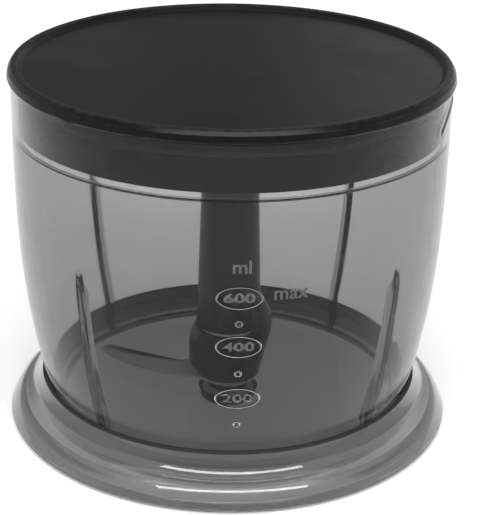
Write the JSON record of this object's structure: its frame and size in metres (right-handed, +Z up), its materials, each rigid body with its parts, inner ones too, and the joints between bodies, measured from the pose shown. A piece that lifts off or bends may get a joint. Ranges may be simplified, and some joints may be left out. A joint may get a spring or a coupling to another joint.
{
  "type": "chopper bowl for an immersion blender",
  "caption": "Round tinted-clear chopper bowl on a flared foot, with a black push-in storage lid and a two-blade insert that spins on a steel centre pin.",
  "frame": {"origin": "centre of the foot's underside, on the surface that the bowl stands on", "axes": "+Z up along the bowl's axis, -Y towards the side with the fill scale, +X to the right seen from that side"},
  "size_m": [0.14, 0.14, 0.1148],
  "materials": {
    "tinted_clear": "clear smoke-grey plastic, gloss",
    "black_rubber": "matt",
    "black_plastic": "satin",
    "hub_plastic": "moulded satin gloss",
    "stainless_steel": "brushed",
    "brass": "turned"
  },
  "bodies": {
    "base": {"bowl": "tinted_clear", "foot_ring": "tinted_clear", "foot_gasket": "black_rubber", "anti_slip_ring": "black_rubber", "centre_pin": "stainless_steel", "thrust_washer": "stainless_steel"},
    "blade_insert": {"blade_collar": "hub_plastic", "lower_blade": "stainless_steel", "blade_block": "hub_plastic", "upper_blade": "stainless_steel", "upper_hub": "hub_plastic", "hub_sleeve": "brass", "drive_insert": "black_plastic"},
    "lid": {"lid_cap": "black_plastic", "lid_seal": "black_rubber"}
  },
  "joints": [
    {"name": "lid_lift", "type": "slide", "parent": "base", "child": "lid", "axis": [0, 0, 1], "range_m": [0, 0.06]},
    {"name": "blade_spin", "type": "hinge", "parent": "base", "child": "blade_insert", "pos_m": [0, 0, 0.04], "axis": [0, 0, 1], "continuous": true}
  ]
}
